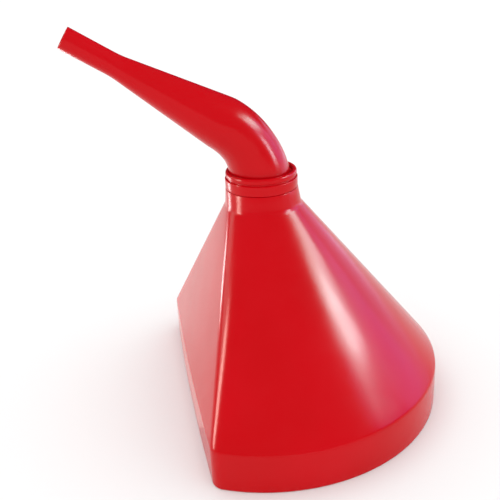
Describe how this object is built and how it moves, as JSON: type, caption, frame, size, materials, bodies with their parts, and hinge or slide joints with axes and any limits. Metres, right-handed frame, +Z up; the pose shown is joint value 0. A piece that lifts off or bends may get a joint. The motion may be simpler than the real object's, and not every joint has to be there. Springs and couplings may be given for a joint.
{
  "type": "funnel",
  "caption": "Plastic liquid funnel with a round cone cut flat on one side and a bent, tapering spout held to its neck by a screwed collar; a gauze strainer sits in the neck.",
  "frame": {"origin": "on the neck's axis, in the plane of the mouth's rim", "axes": "+Z up the neck's axis with the mouth down; the flat side and the spout face -X; XZ is the plane of symmetry"},
  "size_m": [0.2599, 0.26, 0.2896],
  "materials": {
    "red_plastic": "semi-gloss moulded polyethylene",
    "black_plastic": "fine moulded texture",
    "seal_rubber": "matt",
    "gauze_brass": "woven wire"
  },
  "bodies": {
    "funnel": {"funnel_body": "red_plastic"},
    "seal": {"spout_seal": "seal_rubber"},
    "spout": {"spout": "red_plastic"},
    "collar": {"spout_collar": "red_plastic"},
    "strainer": {"strainer_frame": "black_plastic", "strainer_gauze": "gauze_brass"}
  },
  "joints": [
    {"name": "spout_lift", "type": "slide", "parent": "funnel", "child": "seal", "axis": [0, 0, 1], "range_m": [0, 0.0068]},
    {"name": "collar_unscrew", "type": "hinge", "parent": "seal", "child": "collar", "pos_m": [0, 0, 0.17], "axis": [0, 0, 1], "range_deg": [0, 810]},
    {"name": "spout_swivel", "type": "hinge", "parent": "seal", "child": "spout", "pos_m": [0, 0, 0.1774], "axis": [0, 0, 1], "continuous": true},
    {"name": "strainer_lift_out", "type": "slide", "parent": "funnel", "child": "strainer", "axis": [0, 0, -1], "range_m": [0, 0.155]}
  ],
  "couplings": [
    {"joint": "spout_lift", "follows": "collar_unscrew", "m_per_rad": 0.00047746}
  ]
}
